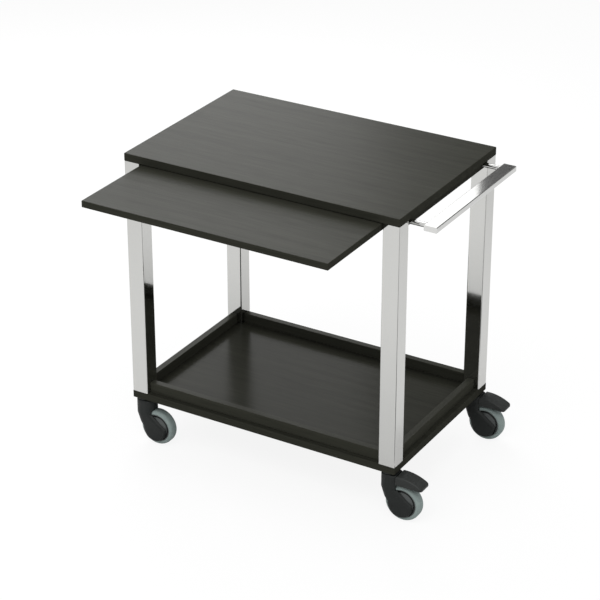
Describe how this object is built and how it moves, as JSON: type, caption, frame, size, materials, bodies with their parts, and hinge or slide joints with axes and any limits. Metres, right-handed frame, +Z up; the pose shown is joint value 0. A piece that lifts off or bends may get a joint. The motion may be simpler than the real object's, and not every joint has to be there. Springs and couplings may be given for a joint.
{
  "type": "buffet trolley",
  "caption": "Buffet trolley with dark laminate boards on square steel legs, a rimmed lower tray, a pull-out shelf, a push handle and swivel castors with foot brakes.",
  "frame": {"origin": "On the floor, under the middle of the whole part at rest, shelf pulled out and handle included.", "axes": "+X runs along the trolley to the push handle, -Y points out of the side where the shelf pulls out, +Z is up."},
  "size_m": [0.878, 0.778, 0.845],
  "materials": {
    "laminate": "satin dark woodgrain laminate",
    "batten_wood": "dark stained hardwood",
    "polished_steel": "polished stainless steel",
    "plated_steel": "zinc plated steel",
    "coated_steel": "black coated steel",
    "glide_plastic": "slippery black plastic",
    "rubber": "matt black rubber",
    "castor_plastic": "moulded dark grey plastic",
    "wheel_plastic": "moulded grey plastic",
    "race_plastic": "black plastic",
    "tyre": "smooth grey rubber"
  },
  "bodies": {
    "frame": {"apron_back": "laminate", "apron_left": "laminate", "apron_right": "laminate", "base_board": "laminate", "bearer_stops": "batten_wood", "castor_back_left_mount": "coated_steel", "castor_back_right_mount": "coated_steel", "castor_front_left_mount": "coated_steel", "castor_front_right_mount": "coated_steel", "handle_bar": "polished_steel", "handle_bolts": "plated_steel", "handle_end_caps": "polished_steel", "handle_post_back": "polished_steel", "handle_post_front": "polished_steel", "leg_back_left": "polished_steel", "leg_back_right": "polished_steel", "leg_foot_plugs": "plated_steel", "leg_front_left": "polished_steel", "leg_front_right": "polished_steel", "leg_studs": "plated_steel", "leg_top_plugs": "plated_steel", "shelf_bearer_left": "batten_wood", "shelf_bearer_right": "batten_wood", "shelf_buffers": "rubber", "shelf_glides": "glide_plastic", "top_panel": "laminate", "tray_rim_back": "laminate", "tray_rim_front": "laminate", "tray_rim_left": "laminate", "tray_rim_right": "laminate"},
    "shelf": {"pullout_shelf": "laminate", "shelf_stop_blocks": "batten_wood"},
    "fork_front_left": {"castor_front_left_axle": "plated_steel", "castor_front_left_fork": "castor_plastic", "castor_front_left_race": "race_plastic"},
    "wheel_front_left": {"castor_front_left_wheel": "wheel_plastic", "castor_front_left_tyre": "tyre"},
    "fork_front_right": {"castor_front_right_axle": "plated_steel", "castor_front_right_fork": "castor_plastic", "castor_front_right_pedal_pin": "plated_steel", "castor_front_right_race": "race_plastic"},
    "wheel_front_right": {"castor_front_right_wheel": "wheel_plastic", "castor_front_right_tyre": "tyre"},
    "pedal_front_right": {"castor_front_right_pedal": "castor_plastic", "castor_front_right_brake_shoe": "rubber"},
    "fork_back_left": {"castor_back_left_axle": "plated_steel", "castor_back_left_fork": "castor_plastic", "castor_back_left_race": "race_plastic"},
    "wheel_back_left": {"castor_back_left_wheel": "wheel_plastic", "castor_back_left_tyre": "tyre"},
    "fork_back_right": {"castor_back_right_axle": "plated_steel", "castor_back_right_fork": "castor_plastic", "castor_back_right_pedal_pin": "plated_steel", "castor_back_right_race": "race_plastic"},
    "wheel_back_right": {"castor_back_right_wheel": "wheel_plastic", "castor_back_right_tyre": "tyre"},
    "pedal_back_right": {"castor_back_right_pedal": "castor_plastic", "castor_back_right_brake_shoe": "rubber"}
  },
  "joints": [
    {"name": "shelf_slide", "type": "slide", "parent": "frame", "child": "shelf", "axis": [0, -1, 0], "range_m": [-0.256, 0.01]},
    {"name": "swivel_front_left", "type": "hinge", "parent": "frame", "child": "fork_front_left", "pos_m": [-0.4155, -0.1095, 0.13], "axis": [0, 0, 1], "continuous": true},
    {"name": "spin_front_left", "type": "hinge", "parent": "fork_front_left", "child": "wheel_front_left", "pos_m": [-0.373, -0.1095, 0.05], "axis": [0, 1, 0], "continuous": true},
    {"name": "swivel_front_right", "type": "hinge", "parent": "frame", "child": "fork_front_right", "pos_m": [0.3375, -0.1095, 0.13], "axis": [0, 0, 1], "continuous": true},
    {"name": "spin_front_right", "type": "hinge", "parent": "fork_front_right", "child": "wheel_front_right", "pos_m": [0.38, -0.1095, 0.05], "axis": [0, 1, 0], "continuous": true},
    {"name": "brake_front_right", "type": "hinge", "parent": "fork_front_right", "child": "pedal_front_right", "pos_m": [0.3556, -0.1095, 0.11], "axis": [0, 1, 0], "range_deg": [0, 7]},
    {"name": "swivel_back_left", "type": "hinge", "parent": "frame", "child": "fork_back_left", "pos_m": [-0.4155, 0.3655, 0.13], "axis": [0, 0, 1], "continuous": true},
    {"name": "spin_back_left", "type": "hinge", "parent": "fork_back_left", "child": "wheel_back_left", "pos_m": [-0.373, 0.3655, 0.05], "axis": [0, 1, 0], "continuous": true},
    {"name": "swivel_back_right", "type": "hinge", "parent": "frame", "child": "fork_back_right", "pos_m": [0.3375, 0.3655, 0.13], "axis": [0, 0, 1], "continuous": true},
    {"name": "spin_back_right", "type": "hinge", "parent": "fork_back_right", "child": "wheel_back_right", "pos_m": [0.38, 0.3655, 0.05], "axis": [0, 1, 0], "continuous": true},
    {"name": "brake_back_right", "type": "hinge", "parent": "fork_back_right", "child": "pedal_back_right", "pos_m": [0.3556, 0.3655, 0.11], "axis": [0, 1, 0], "range_deg": [0, 7]}
  ]
}
